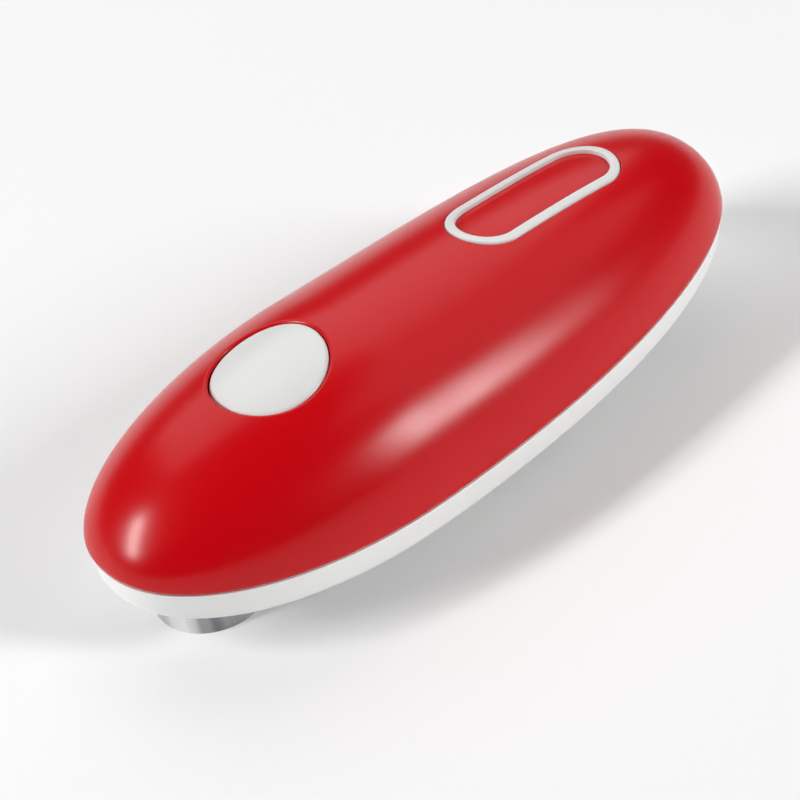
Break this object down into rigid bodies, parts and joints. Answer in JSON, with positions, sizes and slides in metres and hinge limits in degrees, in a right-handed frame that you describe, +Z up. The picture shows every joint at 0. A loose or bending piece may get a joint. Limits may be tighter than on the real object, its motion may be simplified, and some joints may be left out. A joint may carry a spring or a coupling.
{
  "type": "electric can opener",
  "caption": "Hand-held electric can opener: crowned red shell on a white lower shell, round push button, chromed cutter guard, cutting wheel and serrated rim drive.",
  "frame": {"origin": "below the middle of the body, level with the bottom of the cutter guard", "axes": "+X from the nose to the tail, +Z up through the push button, nose and cutter guard towards -X"},
  "size_m": [0.1901, 0.0724, 0.0496],
  "materials": {
    "red_plastic": "satin gloss",
    "white_plastic": "satin gloss",
    "chrome": "polished",
    "steel": "brushed",
    "bronze": "sintered",
    "rubber": "matt",
    "acetal": "matt",
    "black_plastic": "matt",
    "magnet": "ground",
    "cell_wrap": "satin",
    "spring_brass": "rolled"
  },
  "bodies": {
    "case": {"top_shell": "red_plastic", "bottom_shell": "white_plastic", "trim_ring": "white_plastic", "cutter_guard": "chrome", "guard_rivets": "steel", "base_plate": "steel", "carrier_bush": "bronze", "drive_bush": "bronze", "head_plate": "steel", "head_screws": "steel", "lid_magnet": "magnet", "magnet_cup": "steel", "gear_axles": "steel", "motor_can": "steel", "motor_end_cap": "black_plastic", "motor_bracket": "steel", "gearbox_cover": "black_plastic", "gearbox_screws": "steel", "switch_bracket": "black_plastic", "microswitch": "black_plastic", "battery_cells": "cell_wrap", "front_contacts": "spring_brass", "rear_contact": "spring_brass", "case_screws": "steel"},
    "button": {"push_button": "white_plastic", "switch_plunger": "acetal"},
    "cover": {"battery_cover": "white_plastic"},
    "drive": {"drive_shaft": "steel", "drive_wheel": "steel", "final_gear": "acetal"},
    "gear_2": {"second_gear": "acetal"},
    "gear_1": {"first_gear": "acetal"},
    "motor_rotor": {"motor_shaft": "steel", "motor_pinion": "acetal"},
    "carrier": {"cutter_carrier": "steel", "friction_disc": "acetal", "friction_tyre": "rubber", "cutter_pin": "steel"},
    "cutter": {"cutting_wheel": "steel"}
  },
  "joints": [
    {"name": "button_press", "type": "slide", "parent": "case", "child": "button", "axis": [0, 0, -1], "range_m": [0, 0.0016], "stiffness_N_per_m": 1500},
    {"name": "battery_cover_pull", "type": "slide", "parent": "case", "child": "cover", "axis": [0, 0, -1], "range_m": [0, 0.025]},
    {"name": "drive_spin", "type": "hinge", "parent": "case", "child": "drive", "pos_m": [-0.053, 0, 0.015], "axis": [0, 0, 1], "continuous": true},
    {"name": "gear_2_spin", "type": "hinge", "parent": "case", "child": "gear_2", "pos_m": [-0.033, 0, 0.015], "axis": [0, 0, 1], "continuous": true},
    {"name": "gear_1_spin", "type": "hinge", "parent": "case", "child": "gear_1", "pos_m": [-0.018, 0, 0.015], "axis": [0, 0, 1], "continuous": true},
    {"name": "motor_spin", "type": "hinge", "parent": "case", "child": "motor_rotor", "pos_m": [-0.0045, 0, 0.015], "axis": [0, 0, 1], "continuous": true},
    {"name": "carrier_turn", "type": "hinge", "parent": "case", "child": "carrier", "pos_m": [-0.072, 0, 0.012], "axis": [0, 0, 1], "range_deg": [0, 180]},
    {"name": "cutter_spin", "type": "hinge", "parent": "carrier", "child": "cutter", "pos_m": [-0.075, 0, 0.0022], "axis": [0, 0, 1], "continuous": true}
  ],
  "couplings": [
    {"joint": "gear_2_spin", "follows": "drive_spin", "ratio": -4},
    {"joint": "gear_1_spin", "follows": "drive_spin", "ratio": 16},
    {"joint": "motor_spin", "follows": "drive_spin", "ratio": -80}
  ]
}
